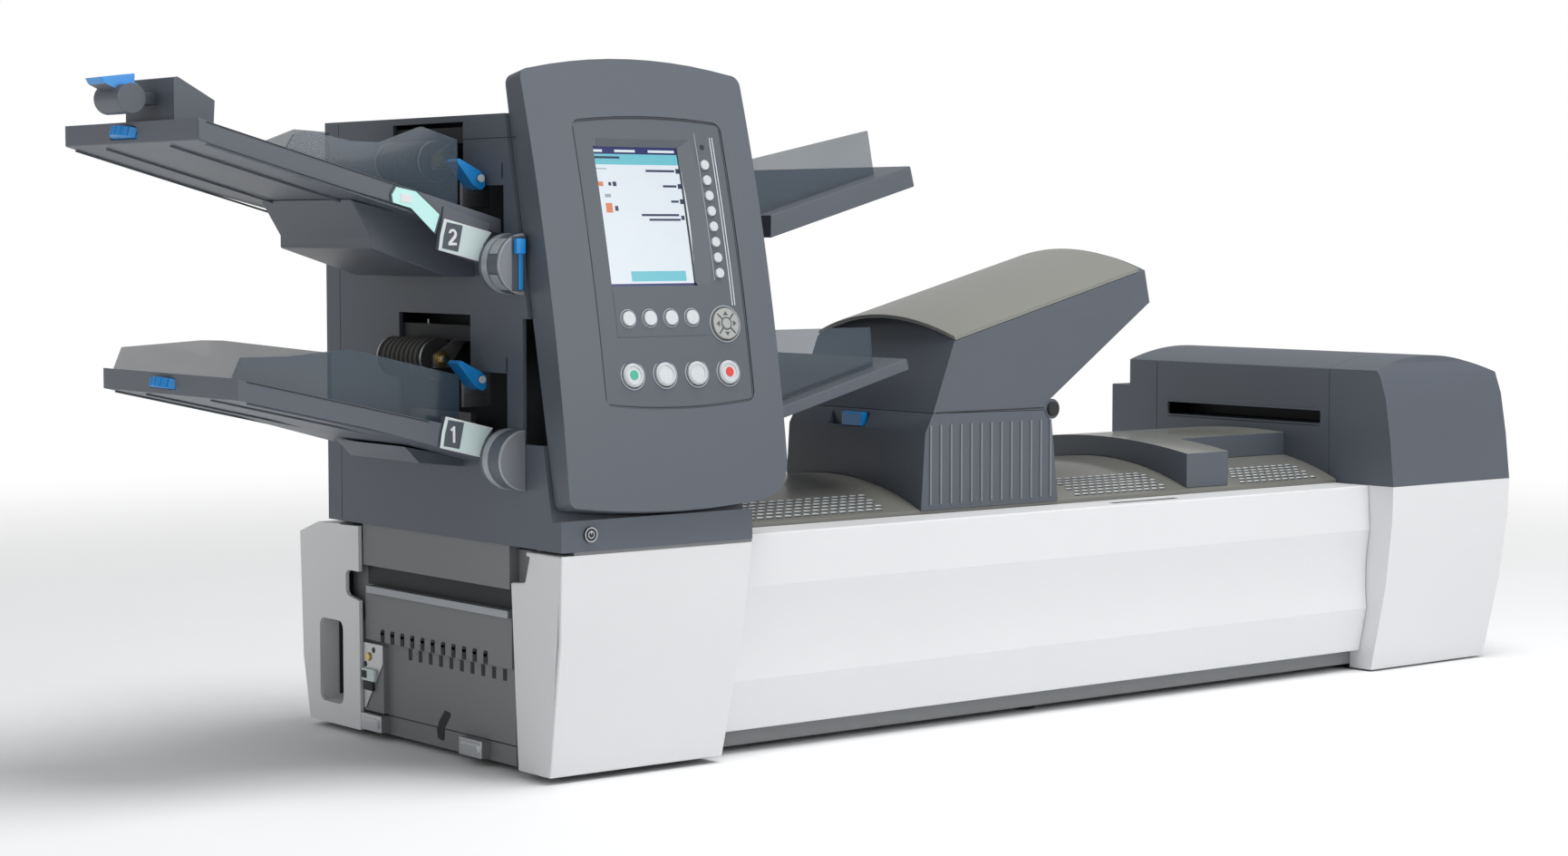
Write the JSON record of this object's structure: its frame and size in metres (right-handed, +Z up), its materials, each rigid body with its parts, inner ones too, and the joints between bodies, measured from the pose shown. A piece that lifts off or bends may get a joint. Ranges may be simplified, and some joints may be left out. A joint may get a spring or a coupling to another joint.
{
  "type": "folder inserter",
  "caption": "Mailroom folder inserter: feeder tower with sloping sheet trays and a control panel door, long base, sloped insert hopper and arched exit hood.",
  "frame": {"origin": "centre of the footprint of the whole machine, at the soles of the feet", "axes": "+X along the machine from the sheet feeder to the exit, +Y to the back, +Z up"},
  "size_m": [1.583, 0.4606, 0.6269],
  "materials": {
    "slate_plastic": "fine satin grain",
    "taupe_plastic": "semi-gloss",
    "white_plastic": "satin",
    "blue_plastic": "satin",
    "smoke_acrylic": "clear smoked",
    "pearl_key": "pearl",
    "chassis_paint": "powder coat",
    "plain_steel": "brushed",
    "screen_glass": "glossy display",
    "black_rubber": "ground rubber"
  },
  "bodies": {
    "machine": {"base_frame": "chassis_paint", "front_panel": "white_plastic", "rear_panel": "white_plastic", "feeder_front_cover": "white_plastic", "feeder_rear_cover": "white_plastic", "docking_plates": "chassis_paint", "feet": "black_rubber", "tower_shell": "slate_plastic", "feed_frame": "plain_steel", "tray_a": "slate_plastic", "tray_b": "slate_plastic", "tray_c": "slate_plastic", "tray_d": "slate_plastic", "hopper_base": "slate_plastic", "deck_cover": "slate_plastic", "mid_cover": "slate_plastic", "exit_housing": "slate_plastic", "exit_cover": "slate_plastic", "exit_base_cover": "white_plastic"},
    "panel": {"panel_door": "slate_plastic", "panel_fascia": "taupe_plastic", "display_screen": "screen_glass"},
    "hopper_lid": {"hopper_head": "slate_plastic", "hopper_cover": "taupe_plastic"},
    "soft_key_1": {"soft_key_1": "pearl_key"},
    "soft_key_2": {"soft_key_2": "pearl_key"},
    "soft_key_3": {"soft_key_3": "pearl_key"},
    "soft_key_4": {"soft_key_4": "pearl_key"},
    "soft_key_5": {"soft_key_5": "pearl_key"},
    "soft_key_6": {"soft_key_6": "pearl_key"},
    "soft_key_7": {"soft_key_7": "pearl_key"},
    "soft_key_8": {"soft_key_8": "pearl_key"},
    "function_key_1": {"function_key_1": "pearl_key"},
    "function_key_2": {"function_key_2": "pearl_key"},
    "function_key_3": {"function_key_3": "pearl_key"},
    "function_key_4": {"function_key_4": "pearl_key"},
    "nav_key": {"nav_key": "pearl_key"},
    "start_key": {"start_key": "pearl_key"},
    "trial_key": {"trial_key": "pearl_key"},
    "deck_key": {"deck_key": "pearl_key"},
    "stop_key": {"stop_key": "pearl_key"},
    "power_key": {"power_key": "pearl_key"},
    "guide_front_a": {"guide_front_a": "smoke_acrylic"},
    "guide_rear_a": {"guide_rear_a": "smoke_acrylic"},
    "guide_front_b": {"guide_front_b": "smoke_acrylic"},
    "guide_rear_b": {"guide_rear_b": "smoke_acrylic"},
    "guide_front_c": {"guide_front_c": "smoke_acrylic"},
    "guide_rear_c": {"guide_rear_c": "smoke_acrylic"},
    "guide_front_d": {"guide_front_d": "smoke_acrylic"},
    "guide_rear_d": {"guide_rear_d": "smoke_acrylic"},
    "guide_wheel_a": {"guide_wheel_a": "blue_plastic"},
    "guide_wheel_c": {"guide_wheel_c": "blue_plastic"},
    "back_stop": {"back_stop": "blue_plastic"},
    "feed_lever_a": {"feed_lever_a": "blue_plastic"},
    "feed_lever_c": {"feed_lever_c": "blue_plastic"},
    "feed_roller_a": {"feed_roller_a": "black_rubber"},
    "feed_roller_c": {"feed_roller_c": "black_rubber"},
    "fold_roller_upper": {"fold_roller_upper": "black_rubber"},
    "fold_roller_lower": {"fold_roller_lower": "black_rubber"},
    "hopper_latch": {"hopper_latch": "blue_plastic"}
  },
  "joints": [
    {"name": "panel_hinge", "type": "hinge", "parent": "machine", "child": "panel", "pos_m": [-0.2385, -0.16237, 0.4163], "axis": [0, 0.1994, 0.9799], "range_deg": [0, 90]},
    {"name": "soft_key_1_press", "type": "slide", "parent": "panel", "child": "soft_key_1", "axis": [0, 0.9799, -0.1994], "range_m": [0, 0.0015], "stiffness_N_per_m": 400},
    {"name": "soft_key_2_press", "type": "slide", "parent": "panel", "child": "soft_key_2", "axis": [0, 0.9799, -0.1994], "range_m": [0, 0.0015], "stiffness_N_per_m": 400},
    {"name": "soft_key_3_press", "type": "slide", "parent": "panel", "child": "soft_key_3", "axis": [0, 0.9799, -0.1994], "range_m": [0, 0.0015], "stiffness_N_per_m": 400},
    {"name": "soft_key_4_press", "type": "slide", "parent": "panel", "child": "soft_key_4", "axis": [0, 0.9799, -0.1994], "range_m": [0, 0.0015], "stiffness_N_per_m": 400},
    {"name": "soft_key_5_press", "type": "slide", "parent": "panel", "child": "soft_key_5", "axis": [0, 0.9799, -0.1994], "range_m": [0, 0.0015], "stiffness_N_per_m": 400},
    {"name": "soft_key_6_press", "type": "slide", "parent": "panel", "child": "soft_key_6", "axis": [0, 0.9799, -0.1994], "range_m": [0, 0.0015], "stiffness_N_per_m": 400},
    {"name": "soft_key_7_press", "type": "slide", "parent": "panel", "child": "soft_key_7", "axis": [0, 0.9799, -0.1994], "range_m": [0, 0.0015], "stiffness_N_per_m": 400},
    {"name": "soft_key_8_press", "type": "slide", "parent": "panel", "child": "soft_key_8", "axis": [0, 0.9799, -0.1994], "range_m": [0, 0.0015], "stiffness_N_per_m": 400},
    {"name": "function_key_1_press", "type": "slide", "parent": "panel", "child": "function_key_1", "axis": [0, 0.9799, -0.1994], "range_m": [0, 0.0015], "stiffness_N_per_m": 400},
    {"name": "function_key_2_press", "type": "slide", "parent": "panel", "child": "function_key_2", "axis": [0, 0.9799, -0.1994], "range_m": [0, 0.0015], "stiffness_N_per_m": 400},
    {"name": "function_key_3_press", "type": "slide", "parent": "panel", "child": "function_key_3", "axis": [0, 0.9799, -0.1994], "range_m": [0, 0.0015], "stiffness_N_per_m": 400},
    {"name": "function_key_4_press", "type": "slide", "parent": "panel", "child": "function_key_4", "axis": [0, 0.9799, -0.1994], "range_m": [0, 0.0015], "stiffness_N_per_m": 400},
    {"name": "nav_key_press", "type": "slide", "parent": "panel", "child": "nav_key", "axis": [0, 0.9799, -0.1994], "range_m": [0, 0.0015], "stiffness_N_per_m": 400},
    {"name": "start_key_press", "type": "slide", "parent": "panel", "child": "start_key", "axis": [0, 0.9799, -0.1994], "range_m": [0, 0.0015], "stiffness_N_per_m": 400},
    {"name": "trial_key_press", "type": "slide", "parent": "panel", "child": "trial_key", "axis": [0, 0.9799, -0.1994], "range_m": [0, 0.0015], "stiffness_N_per_m": 400},
    {"name": "deck_key_press", "type": "slide", "parent": "panel", "child": "deck_key", "axis": [0, 0.9799, -0.1994], "range_m": [0, 0.0015], "stiffness_N_per_m": 400},
    {"name": "stop_key_press", "type": "slide", "parent": "panel", "child": "stop_key", "axis": [0, 0.9799, -0.1994], "range_m": [0, 0.0015], "stiffness_N_per_m": 400},
    {"name": "power_key_press", "type": "slide", "parent": "machine", "child": "power_key", "axis": [0, 1, 0], "range_m": [0, 0.0015], "stiffness_N_per_m": 400},
    {"name": "guide_front_a_slide", "type": "slide", "parent": "machine", "child": "guide_front_a", "axis": [0, 1, 0], "range_m": [0, 0.045]},
    {"name": "guide_rear_a_slide", "type": "slide", "parent": "machine", "child": "guide_rear_a", "axis": [0, -1, 0], "range_m": [0, 0.045]},
    {"name": "guide_front_b_slide", "type": "slide", "parent": "machine", "child": "guide_front_b", "axis": [0, 1, 0], "range_m": [0, 0.045]},
    {"name": "guide_rear_b_slide", "type": "slide", "parent": "machine", "child": "guide_rear_b", "axis": [0, -1, 0], "range_m": [0, 0.045]},
    {"name": "guide_front_c_slide", "type": "slide", "parent": "machine", "child": "guide_front_c", "axis": [0, 1, 0], "range_m": [0, 0.045]},
    {"name": "guide_rear_c_slide", "type": "slide", "parent": "machine", "child": "guide_rear_c", "axis": [0, -1, 0], "range_m": [0, 0.045]},
    {"name": "guide_front_d_slide", "type": "slide", "parent": "machine", "child": "guide_front_d", "axis": [0, 1, 0], "range_m": [0, 0.045]},
    {"name": "guide_rear_d_slide", "type": "slide", "parent": "machine", "child": "guide_rear_d", "axis": [0, -1, 0], "range_m": [0, 0.045]},
    {"name": "guide_wheel_a_turn", "type": "hinge", "parent": "machine", "child": "guide_wheel_a", "pos_m": [-0.705, 0.00335, 0.3413], "axis": [0.2215, 0, 0.9751], "range_deg": [0, 215]},
    {"name": "guide_wheel_c_turn", "type": "hinge", "parent": "machine", "child": "guide_wheel_c", "pos_m": [-0.7387, 0.00335, 0.55176], "axis": [0.2689, 0, 0.9632], "range_deg": [0, 215]},
    {"name": "back_stop_slide", "type": "slide", "parent": "machine", "child": "back_stop", "axis": [0.9632, 0, -0.2689], "range_m": [0, 0.04]},
    {"name": "feed_lever_a_turn", "type": "hinge", "parent": "machine", "child": "feed_lever_a", "pos_m": [-0.4785, -0.10165, 0.346], "axis": [0, 1, 0], "range_deg": [0, 25]},
    {"name": "feed_roller_a_spin", "type": "hinge", "parent": "machine", "child": "feed_roller_a", "pos_m": [-0.4825, -0.00665, 0.362], "axis": [0, 1, 0], "continuous": true},
    {"name": "feed_lever_c_turn", "type": "hinge", "parent": "machine", "child": "feed_lever_c", "pos_m": [-0.4785, -0.10165, 0.521], "axis": [0, 1, 0], "range_deg": [0, 25]},
    {"name": "feed_roller_c_spin", "type": "hinge", "parent": "machine", "child": "feed_roller_c", "pos_m": [-0.4825, -0.00665, 0.537], "axis": [0, 1, 0], "continuous": true},
    {"name": "fold_roller_lower_spin", "type": "hinge", "parent": "machine", "child": "fold_roller_lower", "pos_m": [-0.3605, -0.00665, 0.135], "axis": [0, 1, 0], "continuous": true},
    {"name": "fold_roller_upper_spin", "type": "hinge", "parent": "machine", "child": "fold_roller_upper", "pos_m": [-0.3605, -0.00665, 0.166], "axis": [0, 1, 0], "continuous": true},
    {"name": "hopper_lid_hinge", "type": "hinge", "parent": "machine", "child": "hopper_lid", "pos_m": [0.1697, -0.04165, 0.2982], "axis": [0, 1, 0], "range_deg": [0, 13]},
    {"name": "hopper_latch_slide", "type": "slide", "parent": "machine", "child": "hopper_latch", "axis": [0, 1, 0], "range_m": [0, 0.018], "stiffness_N_per_m": 60}
  ],
  "couplings": [
    {"joint": "guide_rear_a_slide", "follows": "guide_front_a_slide", "ratio": 1},
    {"joint": "guide_rear_b_slide", "follows": "guide_front_b_slide", "ratio": 1},
    {"joint": "guide_rear_c_slide", "follows": "guide_front_c_slide", "ratio": 1},
    {"joint": "guide_rear_d_slide", "follows": "guide_front_d_slide", "ratio": 1},
    {"joint": "guide_wheel_a_turn", "follows": "guide_front_a_slide", "rad_per_m": 83.333},
    {"joint": "guide_wheel_c_turn", "follows": "guide_front_c_slide", "rad_per_m": 83.333},
    {"joint": "fold_roller_upper_spin", "follows": "fold_roller_lower_spin", "ratio": -1}
  ]
}
